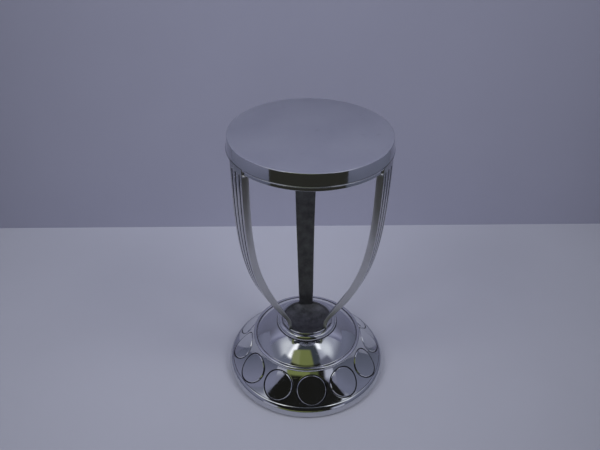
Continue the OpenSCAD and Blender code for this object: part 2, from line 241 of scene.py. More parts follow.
def make_piece(name, bm, materials, replaced, sharp=SHARP):
    """Turns a bmesh into a piece that rides on the root body and stands for the replaced nodes."""
    bmesh.ops.remove_doubles(bm, verts=bm.verts, dist=SMALLEST)
    bmesh.ops.dissolve_degenerate(bm, edges=bm.edges, dist=SMALLEST)
    bmesh.ops.recalc_face_normals(bm, faces=bm.faces)
    mesh = bpy.data.meshes.new(name)
    bm.to_mesh(mesh)
    bm.free()
    for material in materials:
        mesh.materials.append(material)
    mesh.polygons.foreach_set("use_smooth", [True] * len(mesh.polygons))
    mesh.set_sharp_from_angle(angle=math.radians(sharp))
    piece = bpy.data.objects.new(name, mesh)
    bpy.context.scene.collection.objects.link(piece)
    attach(piece, "root")
    if replaced:
        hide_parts(*replaced)
    return piece


def add_columns(bm, outline, angles, place):
    """Adds a column of vertices for each angle. A point on the axis is shared by all columns."""
    poles = {}
    columns = []
    for angle in angles:
        column = []
        for k, (r, z) in enumerate(outline):
            if r > ON_AXIS:
                column.append(bm.verts.new(place(r, angle, z)))
            else:
                if k not in poles:
                    poles[k] = bm.verts.new(place(0, angle, z))
                column.append(poles[k])
        columns.append(column)
    return columns


def add_skin(bm, columns, rows, material, closed=True):
    """Adds the faces between neighbouring columns. material(i, k) is for row k after column i."""
    for i in range(len(columns) if closed else len(columns) - 1):
        left, right = columns[i], columns[(i + 1) % len(columns)]
        for k in rows:
            j = (k + 1) % len(left)
            corners = [left[k], left[j], right[j], right[k]]
            corners = [v for n, v in enumerate(corners) if v not in corners[:n]]
            if len(corners) > 2:
                bm.faces.new(corners).material_index = material(i, k)


def add_revolve(bm, outline, segments=288, first=0.0, last=360.0, material=lambda r, z: 0):
    """Adds a body of revolution. The outline is closed, either by itself or over the axis."""
    whole = abs(last - first) >= 360
    steps = segments if whole else max(2, round(segments * (last - first) / 360))
    angles = [math.radians(first + (last - first) * i / steps) for i in range(steps + (not whole))]
    columns = add_columns(bm, outline, angles, polar)
    count = len(outline)
    over_axis = outline[0][0] < ON_AXIS and outline[-1][0] < ON_AXIS

    def at_middle(_, k):
        a, b = outline[k], outline[(k + 1) % count]
        return material((a[0] + b[0]) / 2, (a[1] + b[1]) / 2)

    add_skin(bm, columns, range(count - 1 if over_axis else count), at_middle, whole)
    if not whole:
        bm.faces.new(columns[0])
        bm.faces.new(columns[-1])


def add_box(bm, low, high, turn=0.0):
    """Adds a box given in millimetres and turned about the vertical axis by an angle in degrees."""
    low, high = Vector(low) * MM, Vector(high) * MM
    made = bmesh.ops.create_cube(bm, size=1)["verts"]
    size, centre = high - low, (high + low) / 2
    for v in made:
        v.co = Vector([c * s for c, s in zip(v.co, size)]) + centre
    bmesh.ops.rotate(bm, verts=made, matrix=Matrix.Rotation(math.radians(turn), 3, "Z"))


def bevel_all(bm, width, segments=3):
    bmesh.ops.bevel(
        bm, geom=bm.edges[:], offset=width * MM, segments=segments, profile=0.5, affect="EDGES"
    )


# ---- Materials ----


class Nodes:
    """Short ways to add nodes to a node tree."""

    def __init__(self, tree):
        self.tree = tree

    def feed(self, socket, value):
        """Links a socket to another one, or gives it a plain value."""
        if isinstance(value, bpy.types.NodeSocket):
            self.tree.links.new(value, socket)
        else:
            socket.default_value = value

    def add(self, kind, inputs=None, **settings):
        node = self.tree.nodes.new(kind)
        for key, value in settings.items():
            setattr(node, key, value)
        for key, value in (inputs or {}).items():
            self.feed(node.inputs[key], value)
        return node

    def math(self, operation, *values, clamp=False):
        inputs = dict(enumerate(values))
        return self.add("ShaderNodeMath", inputs, operation=operation, use_clamp=clamp).outputs[0]

    def span(self, value, low, high, out_low=0.0, out_high=1.0, **settings):
        """Maps low..high to out_low..out_high, clamped."""
        names = ("Value", "From Min", "From Max", "To Min", "To Max")
        inputs = dict(zip(names, (value, low, high, out_low, out_high)))
        return self.add("ShaderNodeMapRange", inputs, clamp=True, **settings).outputs["Result"]

    def mix(self, share, a, b):
        """Colour a, or colour b where share is 1."""
        node = self.add("ShaderNodeMix", data_type="RGBA")
        for key, value in (("Factor", share), ("A", a), ("B", b)):
            self.feed(next(s for s in node.inputs if s.name == key and s.enabled), value)
        return next(s for s in node.outputs if s.enabled)

    def mix_shaders(self, share, a, b, output):
        """Sends shader a, or shader b where share is 1, to the output node's surface."""
        node = self.add("ShaderNodeMixShader", {0: share, 1: a.outputs[0], 2: b.outputs[0]})
        self.feed(output.inputs["Surface"], node.outputs[0])

    def scale(self, colour, factor):
        """The colour made lighter or darker by a factor."""
        node = self.add("ShaderNodeVectorMath", {0: colour, "Scale": factor}, operation="SCALE")
        return node.outputs["Vector"]


class Shader(Nodes):
    """A material with a Principled shader, placed in frame coordinates."""

    def __init__(self, name, metallic, specular=0.5):
        self.material = bpy.data.materials.new(name)
        self.material.use_nodes = True
        super().__init__(self.material.node_tree)
        self.bsdf = self.tree.nodes["Principled BSDF"]
        self.bsdf.inputs["Metallic"].default_value = metallic
        self.bsdf.inputs["Specular IOR Level"].default_value = specular
        self.place = self.add("ShaderNodeTexCoord").outputs["Object"]

    def set(self, key, value):
        self.feed(self.bsdf.inputs[key], value)

    def noise(self, scale, detail=3.0, roughness=0.5, stretch=None):
        """Noise from 0 to 1 in frame coordinates; scale is in cells a metre."""
        place = self.place
        if stretch:
            place = self.add("ShaderNodeMapping", {"Vector": place, "Scale": stretch}).outputs[0]
        node = self.add(
            "ShaderNodeTexNoise",
            {"Vector": place, "Scale": scale, "Detail": detail, "Roughness": roughness},
        )
        return node.outputs["Fac"]

    def crevice(self, reach, low=0.35, high=0.85):
        """1 in a crevice and 0 in the open, reaching as far as reach in millimetres."""
        occlusion = self.add("ShaderNodeAmbientOcclusion", {"Distance": reach * MM}, samples=8)
        return self.span(occlusion.outputs["AO"], low, high, 1.0, 0.0)

    def bump(self, *layers):
        """Chains (height, depth in millimetres) layers into the normal."""
        normal = None
        for height, depth in layers:
            inputs = {"Height": height, "Strength": 1.0, "Distance": depth * MM}
            if normal:
                inputs["Normal"] = normal
            normal = self.add("ShaderNodeBump", inputs).outputs["Normal"]
        self.set("Normal", normal)

    def split(self):
        """The frame coordinates X, Y and Z."""
        return self.add("ShaderNodeSeparateXYZ", {"Vector": self.place}).outputs


def rgb(r, g, b):
    """A linear colour for a socket."""
    return (r, g, b, 1.0)


def tone(r, g, b):
    """A colour seen as 0 to 255 on screen, in the linear values that Blender uses."""
    return tuple(((c / 255 + 0.055) / 1.055) ** 2.4 for c in (r, g, b))


def scratches(shader, scale, share):
    """Sparse fine hairlines in two directions, as a 0 to 1 mask."""
    masks = []
    for stretch in ((1.0, 0.06, 0.25), (0.08, 1.0, 0.3)):
        lines = shader.noise(scale, detail=2.0, stretch=stretch)
        masks.append(shader.span(lines, share, share + 0.05))
    return shader.math("MAXIMUM", *masks)


def chrome(name, tint=(0.66, 0.67, 0.70), rough=0.045, wave=0.02, crease_shade=0.6, reach=2.0):
    """Polished plate: faint waviness, hairlines, haze in patches, and painted shade that darkens
    the creases and roughens them.
    """
    s = Shader(name, metallic=1.0)
    haze = s.noise(38, detail=4.0)
    fine = s.noise(420, detail=3.0)
    lines = scratches(s, 900, 0.68)
    # Painted shade: the occlusion mask, scaled by its strength, darkens the colour in the creases
    # and raises the roughness there.
    crevice_shade = s.math("MULTIPLY", s.crevice(reach), crease_shade)
    unshaded = s.mix(s.span(haze, 0.35, 0.7), rgb(*tint), rgb(*[c * 0.93 for c in tint]))
    s.set("Base Color", s.mix(crevice_shade, unshaded, rgb(0.035, 0.034, 0.030)))
    hazy = s.span(haze, 0.3, 0.75, rough, rough + 0.07)
    roughness = s.math("ADD", hazy, s.math("MULTIPLY", lines, 0.12))
    roughness = s.math("ADD", roughness, s.span(fine, 0.55, 0.8, 0.0, 0.05))
    s.set("Roughness", s.math("ADD", roughness, s.math("MULTIPLY", crevice_shade, 0.35), clamp=True))
    s.bump((s.noise(46, detail=1.0), wave), (lines, -0.002))
    return s.material


def satin_plate(name):
    """The plate's top face: lathe-brushed rings under a cloudy haze, with small stains."""
    s = Shader(name, metallic=1.0)
    x, y, _ = s.split()
    radius = s.math("SQRT", s.math("ADD", s.math("MULTIPLY", x, x), s.math("MULTIPLY", y, y)))
    rings = s.add(
        "ShaderNodeTexNoise", {"W": radius, "Scale": 1900.0, "Detail": 2.0}, noise_dimensions="1D"
    ).outputs["Fac"]
    cloud = s.noise(16, detail=5.0, roughness=0.6)
    stain = s.span(s.noise(55, detail=4.0), 0.64, 0.78)
    grain = s.noise(1500, detail=2.0)
    hazy = s.mix(s.span(cloud, 0.3, 0.7), rgb(0.50, 0.51, 0.55), rgb(0.58, 0.59, 0.62))
    stained = s.mix(s.math("MULTIPLY", stain, 0.35), hazy, rgb(0.36, 0.36, 0.38))
    s.set("Base Color", s.mix(s.span(rings, 0.35, 0.65, 0.0, 0.35), stained, rgb(0.62, 0.63, 0.66)))
    rough = s.math("ADD", s.span(cloud, 0.3, 0.7, 0.36, 0.46), s.span(grain, 0.3, 0.8, 0.0, 0.06))
    s.set("Roughness", rough)
    s.bump((rings, 0.0006), (grain, 0.0012))
    return s.material


def dull_casting(name, dark=0.055, light=0.12, reach=6.0):
    """Unpolished, tarnished casting: mottled and pitted, with painted shade darkening the corners.
    """
    s = Shader(name, metallic=0.85)
    mottle = s.noise(85, detail=6.0, roughness=0.62)
    pits = s.noise(900, detail=4.0)
    # Painted shade: the occlusion mask darkens the corners.
    crevice_shade = s.math("MULTIPLY", s.crevice(reach, 0.25, 0.8), 0.8)
    dark_metal = rgb(dark, dark, dark * 1.02)
    light_metal = rgb(light, light * 1.01, light * 1.07)
    metal = s.mix(s.span(mottle, 0.32, 0.7), dark_metal, light_metal)
    s.set("Base Color", s.mix(crevice_shade, metal, rgb(0.012, 0.012, 0.012)))
    s.set("Roughness", s.span(mottle, 0.3, 0.7, 0.62, 0.46))
    s.bump((mottle, 0.06), (pits, 0.02))
    return s.material


def tarnish_and_shade(name):
    """Black tarnish in a groove where the metal around it is polished; the same material paints
    shade into the medallion recesses and onto the medallion sides.
    """
    s = Shader(name, metallic=0.9)
    patch = s.noise(180, detail=5.0)
    black, grey = rgb(0.02, 0.02, 0.024), rgb(0.09, 0.09, 0.10)
    s.set("Base Color", s.mix(s.span(patch, 0.35, 0.75), black, grey))
    s.set("Roughness", s.span(patch, 0.3, 0.7, 0.55, 0.35))
    s.bump((s.noise(900, detail=3.0), 0.01))
    return s.material


def plated_steel(name, tint, rough=0.3):
    """Zinc plated or turned hardware, with painted shade darkening its crevices."""
    s = Shader(name, metallic=1.0)
    patch = s.noise(220, detail=4.0)
    # Painted shade: the occlusion mask darkens the crevices.
    crevice_shade = s.math("MULTIPLY", s.crevice(1.5), 0.7)
    metal = s.mix(s.span(patch, 0.3, 0.7), rgb(*tint), rgb(*[c * 0.72 for c in tint]))
    s.set("Base Color", s.mix(crevice_shade, metal, rgb(0.03, 0.03, 0.03)))
    s.set("Roughness", s.span(patch, 0.3, 0.7, rough, rough + 0.2))
    s.bump((s.noise(1400, detail=2.0), 0.006))
    return s.material


def iron_casting(name):
    """Rough cast iron with some rust."""
    s = Shader(name, metallic=0.4)
    grain = s.noise(260, detail=6.0, roughness=0.7)
    rust = s.span(s.noise(40, detail=5.0), 0.56, 0.7)
    iron = s.mix(s.span(grain, 0.3, 0.7), rgb(0.035, 0.035, 0.038), rgb(0.09, 0.088, 0.086))
    s.set("Base Color", s.mix(s.math("MULTIPLY", rust, 0.6), iron, rgb(0.12, 0.05, 0.025)))
    s.set("Roughness", s.span(grain, 0.3, 0.7, 0.7, 0.9))
    s.bump((grain, 0.15))
    return s.material


def black_enamel(name):
    """Black stoved paint with fine scratches."""
    s = Shader(name, metallic=0.0)
    patch = s.noise(60, detail=4.0)
    lines = scratches(s, 500, 0.66)
    s.set("Base Color", s.mix(lines, rgb(0.022, 0.022, 0.024), rgb(0.10, 0.10, 0.105)))
    s.set("Roughness", s.span(patch, 0.3, 0.7, 0.38, 0.55))
    s.bump((s.noise(700, detail=3.0), 0.01), (lines, -0.01))
    return s.material


def wool_felt(name):
    """Dark green felt with pale fibres on top."""
    s = Shader(name, metallic=0.0, specular=0.15)
    fibres = s.noise(2600, detail=6.0, roughness=0.75, stretch=(1.0, 0.35, 1.0))
    patch = s.noise(70, detail=4.0)
    green = s.mix(s.span(patch, 0.3, 0.7), rgb(0.020, 0.062, 0.035), rgb(0.035, 0.095, 0.055))
    s.set("Base Color", s.mix(s.span(fibres, 0.5, 0.8, 0.0, 0.6), green, rgb(0.09, 0.17, 0.11)))
    s.set("Roughness", 0.95)
    s.set("Sheen Weight", 0.6)
    s.bump((fibres, 0.18))
    return s.material


# Every chrome finish darkens its creases with painted shade, as strong and as far-reaching as its
# last two settings.
CHROME = chrome("chrome_ring")
LEG_WAVE_AND_SHADE = {"wave": 0.03, "crease_shade": 0.9, "reach": 1.6}
CHROME_LEG = chrome("chrome_leg", tint=(0.62, 0.62, 0.63), rough=0.13, **LEG_WAVE_AND_SHADE)
LEG_SIDE = chrome("leg_side", tint=(0.64, 0.64, 0.64), rough=0.28, **LEG_WAVE_AND_SHADE)
CHROME_SHELL = chrome("chrome_shell", wave=0.035, crease_shade=0.75, reach=3.0)
CHROME_MEDALLION = chrome("chrome_medallion", tint=(0.70, 0.71, 0.74), rough=0.03, wave=0.02)
SATIN = satin_plate("satin_plate")
# The hub's long reach spreads the painted corner shade out over its dish.
CAST = dull_casting("hub_casting", dark=0.09, light=0.20, reach=9.0)
# Groove tarnish, which also stands as painted shade in the medallion recesses and on the medallion
# sides.
GROOVE_TARNISH_AND_SHADE = tarnish_and_shade("groove_tarnish_and_shade")
# Dull dark finish for the legs' inner faces and pads; its dark colour is a painted reflection of
# the dark room in front of the legs.
LEG_BACK = dull_casting("leg_inner_face", dark=0.11, light=0.20)
ZINC = plated_steel("zinc_steel", (0.52, 0.53, 0.55))
BRASS = plated_steel("boss_brass", (0.55, 0.42, 0.20), rough=0.35)
IRON = iron_casting("ballast_iron")
ENAMEL = black_enamel("cover_enamel")
FELT = wool_felt("felt")

# ---- Plate and carrier ring ----


def build_plate():
    """The pan: a satin top face and polished metal everywhere else."""
    bm = bmesh.new()
    under = PLATE_TOP - SHEET
    outline = rounded([
        (0, PLATE_TOP), (PLATE_TOP_R, PLATE_TOP, EDGE_R), (PLATE_R, SKIRT_Z, 0.35),
        (PLATE_R - SHEET, SKIRT_Z, 0.35), (PLATE_TOP_R - SHEET, under, 0.6), (0, under),
    ], n=10)
    satin_r = PLATE_TOP_R - EDGE_R
    add_revolve(bm, outline, material=lambda r, z: 0 if r < satin_r and z > under else 1)
    make_piece("top_plate_pan", bm, [SATIN, CHROME], ["top_plate"])


def build_carrier():
    """Web and upstand all the way round, and bead and lip in three pieces between the legs."""
    bm = bmesh.new()
    inner = rounded([
        (WEB_IN_R, WEB_Z + 1), (WEB_IN_R, WEB_Z, 0.5),
        (UPSTAND_OUT_R, WEB_Z), (UPSTAND_OUT_R, UPSTAND_TOP, 0.5),
        (UPSTAND_IN_R, UPSTAND_TOP, 0.5), (UPSTAND_IN_R, WEB_Z + WEB_T, 0.8),
        (WEB_IN_R, WEB_Z + WEB_T, 0.5), (WEB_IN_R, WEB_Z + 1.5),
    ])
    add_revolve(bm, inner)
    bead = (BEAD_H - BEAD_GAP) / 2
    outer = (
        [(UPSTAND_OUT_R, WEB_Z + 2 * bead)]
        + ellipse((BEAD_R - bead, WEB_Z + bead), bead, bead, 90, -90, 16)
        + rounded([
            (LIP_TOP_R + 0.3, WEB_Z), (LIP_TOP_R, WEB_Z - 0.3, 0.2), (LIP_FOOT_R, LIP_Z, 0.9),
            (UPSTAND_IN_R + 1, LIP_Z, 0.4), (UPSTAND_IN_R + 0.2, WEB_Z - 0.01),
        ])
        + [(UPSTAND_OUT_R, WEB_Z - 0.01)]
    )
    half_opening = LEG_TOP_W * (1 - LEG_SPLAY / 2) / 2 + NOTCH_GAP
    notch = math.degrees(math.asin(half_opening / LIP_TOP_R))
    angles = sorted(LEG_ANGLES.values())
    for a, b in zip(angles, angles[1:] + [angles[0] + 360]):
        add_revolve(bm, outer, first=a + notch, last=b - notch)
    make_piece("carrier_ring_body", bm, [CHROME], ["carrier_ring"])


# ---- Legs ----

BOW_H = HEAD_Z - KNEE_Z
# The side outline of a leg, as control points of a long bow and a short knee on each side
OUTER_BOW = [
    (HEAD_R, HEAD_Z), (HEAD_R, HEAD_Z - 0.63 * BOW_H),
    (78.8, KNEE_Z + 0.258 * BOW_H), (KNEE_OUT_R, KNEE_Z),
]
OUTER_KNEE = [
    (KNEE_OUT_R, KNEE_Z), (FOOT_R + 1.0, KNEE_Z - 8.6),
    (FOOT_R, KNEE_Z - 16), (FOOT_R, KNEE_Z - 26),
]
INNER_BOW = [
    (HEAD_R - HEAD_T, HEAD_Z), (HEAD_R - HEAD_T, HEAD_Z - 0.5 * BOW_H),
    (82.5, KNEE_Z + 0.372 * BOW_H), (KNEE_IN_R, KNEE_Z),
]
INNER_KNEE = [
    (KNEE_IN_R, KNEE_Z), (FOOT_R - FOOT_T + 1.0, KNEE_Z - 8.3),
    (FOOT_R - FOOT_T, KNEE_Z - 14), (FOOT_R - FOOT_T, KNEE_Z - 24),
]
BOW_STEPS = 150
KNEE_STEPS = 24
# Finer steps from the head down to below the shoulder and the ends of the grooves
HEAD_STEPS = 1200
HEAD_STEPS_USED = 80
# Materials of a leg's faces
FACE, GROOVE, BACK, SIDE = range(4)


def leg_width(z):
    """The leg's width half way between its inner and its outer face."""
    share = min(1.0, max(0.0, (z - SEAT_Z) / (HEAD_Z - SEAT_Z)))
    return LEG_FOOT_W + (LEG_TOP_W - LEG_FOOT_W) * share + LEG_BULGE * 4 * share * (1 - share)


def shoulder(z):
    """1 in the small shoulder under the lip, 0 above and below it."""
    start = smooth((z - (LIP_Z - SHOULDER_H)) / SHOULDER_EDGE)
    return start * smooth((LIP_Z - 0.2 - z) / SHOULDER_EDGE)


def groove_depth(z):
    """Depth of the grooves at a height. They fade out slowly below and end sharply at the head."""
    full = GROOVE_DEPTH * smooth((z - GROOVE_END) / GROOVE_FADE)
    return full * smooth((GROOVE_TOP - z) / (GROOVE_W / 2))


def leg_stations():
    """Outer and inner points of the leg's side outline, from the head down to the foot."""
    shares = [i / BOW_STEPS for i in range(BOW_STEPS + 1)]
    shares += [i / HEAD_STEPS for i in range(1, HEAD_STEPS_USED)]
    stations = [(bezier(OUTER_BOW, t), bezier(INNER_BOW, t)) for t in sorted(set(shares))]
    for i in range(1, KNEE_STEPS + 1):
        t = i / KNEE_STEPS
        stations.append((bezier(OUTER_KNEE, t), bezier(INNER_KNEE, t)))
    stations.append(((FOOT_R, SEAT_Z), (FOOT_R - FOOT_T, SEAT_Z)))
    tongue_r = UPSTAND_OUT_R + 0.2
    return [
        (out, (tongue_r, inn[1]) if inn[1] > WEB_Z else inn)
        for out, inn in stations
    ]


def leg_face(body, z):
    """The outer face across as [(across, how deep, material of the next face)]."""
    depth = groove_depth(z)
    scale = GROOVE_W / 2 * body / LEG_TOP_W
    face = []
    for centre in GROOVES:
        for x, d in GROOVE_SHAPE:
            inside = GROOVE if depth > 0.2 and -1.2 < x < 1.0 else FACE
            face.append((centre * body + x * scale, d * depth, inside))
    edge = body / 2 - LEG_CORNER
    first = face[0][0]
    face = [(-edge + (edge + first) * k / 3, 0.0, FACE) for k in range(3)] + face
    return face + [(edge + (-first - edge) * k / 3, 0.0, FACE) for k in (2, 1, 0)]


def leg_ring(out, inn):
    """One closed section as [(across, share from inner to outer face, next face's material)]."""
    z = out[1]
    body = leg_width(z) * (1 - LEG_SPLAY)
    half = body / 2
    ledge = shoulder(z)
    back = leg_width(z) * (1 + LEG_SPLAY) / 2
    wide = back + SHOULDER_W
    middle = (half + back) / 2
    back += ledge * SHOULDER_W
    thick = math.dist(out, inn)

    def crown(y):
        return thick - LEG_CROWN * (2 * y / body) ** 2

    outer = [(y, crown(y) - d, m) for y, d, m in leg_face(body, z)]
    edge = half - LEG_CORNER
    low = crown(edge)
    turn = [math.radians(90 * k / 5) for k in range(1, 5)]
    right = [
        (edge + LEG_CORNER * math.sin(a), low - LEG_CORNER * (1 - math.cos(a)), FACE) for a in turn
    ]
    right += [
        (half, low - LEG_CORNER, SIDE),
        (middle + ledge * (wide - middle), low * (0.5 + 0.3 * ledge), SIDE),
        (back, LEG_CORNER, FACE),
    ]
    edge = back - LEG_CORNER
    right += [
        (edge + LEG_CORNER * math.cos(a), LEG_CORNER * (1 - math.sin(a)), FACE) for a in turn
    ]
    inner = [(edge * share, 0.0, BACK) for share in (1.0, 0.5, 0.0, -0.5)] + [(-edge, 0.0, FACE)]
    # The left side runs the other way, so its two side faces start one point earlier
    left = [(-y, n, FACE) for y, n, _ in reversed(right)]
    for k in (len(turn), len(turn) + 1):
        left[k] = (*left[k][:2], SIDE)
    return [(y, n / thick, m) for y, n, m in outer + right + inner + left]


def build_leg(name, angle):
    """A leg, and the pad by which its head is screwed to the carrier's web."""
    bm = bmesh.new()
    turn = Matrix.Rotation(math.radians(angle), 3, "Z")
    rows = []
    materials = []
    for out, inn in leg_stations():
        ring = leg_ring(out, inn)
        row = []
        for y, share, _ in ring:
            r = inn[0] + (out[0] - inn[0]) * share
            z = inn[1] + (out[1] - inn[1]) * share
            row.append(bm.verts.new(turn @ Vector((r * MM, y * MM, z * MM))))
        rows.append(row)
        materials.append([m for _, _, m in ring])
    add_skin(bm, rows, range(len(rows[0])), lambda i, k: materials[i][k], closed=False)
    bm.faces.new(rows[0])
    bm.faces.new(rows[-1])
    finish = [CHROME_LEG, GROOVE_TARNISH_AND_SHADE, LEG_BACK, LEG_SIDE]
    make_piece(name + "_bar", bm, finish, [name], sharp=50)

    pad = bmesh.new()
    end = HEAD_R - HEAD_T + 1
    half = LEG_FOOT_W / 2
    add_box(pad, (end - PAD_LENGTH, -half, WEB_Z - PAD_T), (end, half, WEB_Z), angle)
    bevel_all(pad, 0.6)
    make_piece(name + "_pad", pad, [LEG_BACK], [])


# ---- Hub, collar and foot ring ----


def build_hub():
    """The dished cup with its polished rim, cut open where the legs stand in it."""
    bm = bmesh.new()
    rim = RIM_W / 2
    dish = arc((0, DISH_Z), (HUB_R - RIM_W, RIM_TOP - rim), -2.2, 20)
    outline = (
        [(0, HUB_BOSS_Z), (HUB_BOSS_R, HUB_BOSS_Z), (HUB_BOSS_R, HUB_Z), (HUB_R, HUB_Z)]
        + ellipse((HUB_R - rim, RIM_TOP - rim), rim, rim, 0, 180, 16)
        + list(reversed(dish))[1:]
    )
    polished_r = HUB_R - rim * 0.8
    add_revolve(bm, outline, material=lambda r, z: 1 if r > polished_r else 0)
    hub = make_piece("hub_cup", bm, [CAST, CHROME], ["hub"])
    cutter_bm = bmesh.new()
    half = LEG_FOOT_W / 2 + SLOT_GAP
    low, high = (FOOT_R - FOOT_T - 0.2, -half, SEAT_Z), (FOOT_R + 20, half, SEAT_Z + 30)
    for angle in LEG_ANGLES.values():
        add_box(cutter_bm, low, high, angle)
    mesh = bpy.data.meshes.new("slot_cutter")
    cutter_bm.to_mesh(mesh)
    cutter_bm.free()
    cutter = bpy.data.objects.new("slot_cutter", mesh)
    bpy.context.scene.collection.objects.link(cutter)
    cut = hub.modifiers.new("slots", "BOOLEAN")
    cut.object = cutter
    cut.operation = "DIFFERENCE"
    cut.solver = "EXACT"
    bpy.context.view_layer.update()
    depsgraph = bpy.context.evaluated_depsgraph_get()
    shaped = bpy.data.meshes.new_from_object(hub.evaluated_get(depsgraph))
    hub.modifiers.clear()
    hub.data = shaped
    shaped.set_sharp_from_angle(angle=math.radians(SHARP))
    bpy.data.objects.remove(cutter)


def build_collar():
    """The half-round moulding between the hub's rim and the dome."""
    bm = bmesh.new()
    inner = NECK_R + 0.2
    centre = (COLLAR_R - 5, SHOULDER_Z + COLLAR_LIFT)
    first = math.degrees(math.asin(-COLLAR_LIFT / COLLAR_BEAD_R))
    last = 180 - math.degrees(math.acos((centre[0] - inner) / COLLAR_BEAD_R))
    crest = ellipse(centre, COLLAR_BEAD_R, COLLAR_BEAD_R, first, last, 32)
    add_revolve(bm, crest + [(inner, SHOULDER_Z)])
    make_piece("neck_collar_moulding", bm, [CHROME], ["neck_collar"])


def build_foot_ring():
    """The rim moulding: a seat for the shell's edge, a tall round and a small round below it."""
    bm = bmesh.new()
    mid_z = 5.7
    cover_r = 103.6
    foot_z, floor_z = 0.8, 5
    seat_r, seat_z, edge_z = 101.5, 8, 13.6
    flare_r = FLARE_END[0]
    outline = (
        rounded([
            (92, floor_z), (92, seat_z, 0.4), (seat_r, seat_z, 0.4), (seat_r, edge_z, 0.3),
            (flare_r + 0.2, edge_z, 0.2), (flare_r + 0.25, 15.0),
        ])
        + ellipse((flare_r - 1.6, mid_z), 7.2, 10.4, 75, 0, 40)
        + ellipse((FOOT_RING_R - 3, mid_z), 3, mid_z - foot_z, -4, -90, 20)
        + rounded([
            (106, foot_z), (cover_r, foot_z, 0.6), (cover_r, floor_z, 0.3), (92.4, floor_z),
        ])
    )
    add_revolve(bm, outline)
    make_piece("foot_ring_moulding", bm, [CHROME], ["foot_ring"])


# ---- Foot shell and medallions ----

# The flare is a hollow arc. MID is its middle, C its centre, RHO its radius, and TILT its slope.
# SPOT is the middle of a medallion, on the tangent through MID.
FLARE_RUN = FLARE_END[0] - BEAD_RING_OUT[0]
FLARE_DROP = BEAD_RING_OUT[1] - FLARE_END[1]
TILT = math.atan2(FLARE_DROP, FLARE_RUN)
MID_R = BEAD_RING_OUT[0] + FLARE_RUN / 2 - FLARE_HOLLOW * math.sin(TILT)
MID_Z = FLARE_END[1] + FLARE_DROP / 2 - FLARE_HOLLOW * math.cos(TILT)
SPOT_R = MID_R + MEDALLION_DROP * math.cos(TILT)
SPOT_Z = MID_Z - MEDALLION_DROP * math.sin(TILT)
FLARE_HALF = math.hypot(FLARE_RUN, FLARE_DROP) / 2
FLARE_RHO = FLARE_HALF**2 / (2 * FLARE_HOLLOW) + FLARE_HOLLOW / 2
FLARE_C = (MID_R + FLARE_RHO * math.sin(TILT), MID_Z + FLARE_RHO * math.cos(TILT))
FLARE_SWEEP = math.asin(FLARE_HALF / FLARE_RHO)
FLARE_TRIES = 12

# Steps along one side of a bay's edge, and from that edge in to the recess
BAY_SIDE = 24
BAY_RINGS = 10
RECESS_FLOOR_R = 8.0
BEAD_SWELL = 0.5
MEDALLION_RINGS = 14
MEDALLION_SEGMENTS = 128


def spot(i):
    """Turns bay i of the flare, as it is drawn on +X in millimetres, to its place."""
    angle = math.radians(270 + MEDALLION_TURN + i * 360 / MEDALLIONS)
    return Matrix.Rotation(angle, 4, "Z") @ Matrix.Scale(MM, 4)


def flare_point(angle, share):
    """Point of the flare at an angle from a bay's middle; share is -1 at the top, 1 at the rim."""
    a = share * FLARE_SWEEP
    r = FLARE_C[0] - FLARE_RHO * math.sin(TILT - a)
    z = FLARE_C[1] - FLARE_RHO * math.cos(TILT - a)
    return Vector((r * math.cos(angle), r * math.sin(angle), z))


def flare_at(x, y):
    """(angle, share, height over the tangent) of the flare's point x down the slope, y across."""
    normal = Vector((math.sin(TILT), 0, math.cos(TILT)))
    down = Vector((math.cos(TILT), 0, -math.sin(TILT)))
    base = Vector((SPOT_R, 0, SPOT_Z)) + down * x + Vector((0, y, 0))
    height = 0.0
    for _ in range(FLARE_TRIES):
        p = base + normal * height
        r = math.hypot(p.x, p.y)
        gap = math.dist((r, p.z), FLARE_C) - FLARE_RHO
        height += gap
    angle = math.atan2(p.y, p.x)
    share = (TILT - math.atan2(FLARE_C[0] - r, FLARE_C[1] - p.z)) / FLARE_SWEEP
    return angle, share, height


def on_tangent(x, y, r, height):
    """Point at radius r in the direction (x down the slope, y across) from a medallion's middle."""
    down = Vector((math.cos(TILT), 0, -math.sin(TILT))) * (x * r)
    out = Vector((math.sin(TILT), 0, math.cos(TILT))) * height
    return Vector((SPOT_R, y * r, SPOT_Z)) + down + out


def recess_profile(x, y, height):
    """Points over the recess's rounded lip, down its wall and in to its floor."""
    points = []
    for k in range(1, 5):
        a = math.radians(90 * k / 4)
        r = RECESS_MOUTH_R - RECESS_LIP * math.sin(a)
        points.append(on_tangent(x, y, r, height - RECESS_LIP * (1 - math.cos(a))))
    for k in range(4):
        a = math.radians(90 * k / 3)
        r = RECESS_R - RECESS_LIP * (1 - math.cos(a))
        lift = RECESS_LIP * (1 - math.sin(a))
        points.append(on_tangent(x, y, r, height - RECESS_DEPTH + lift))
    return points + [on_tangent(x, y, RECESS_FLOOR_R, -RECESS_DEPTH)]


def bay_lines():
    """Lines of points from all round the edge of one bay in to the floor of its recess."""
    lines = []
    for k in range(4 * BAY_SIDE):
        leg, t = divmod(k, BAY_SIDE)
        u = 2 * t / BAY_SIDE - 1
        edge_share, across = [(-1, u), (u, 1), (1, -u), (-u, -1)][leg]
        edge_angle = across * BAY / 2
        a = math.radians(-135 - 90 * k / BAY_SIDE)
        x, y = math.cos(a), math.sin(a)
        angle, share, height = flare_at(x * RECESS_MOUTH_R, y * RECESS_MOUTH_R)
        width = (flare_point(edge_angle, edge_share) - flare_point(angle, share)).length
        first = JOINT_LINE / width
        line = []
        for m in range(BAY_RINGS + 1):
            s = first + (1 - first) * (m - 1) / (BAY_RINGS - 1) if m else 0
            at_angle = edge_angle + (angle - edge_angle) * s
            line.append(flare_point(at_angle, edge_share + (share - edge_share) * s))
        lines.append(line + recess_profile(x, y, height))
    return lines


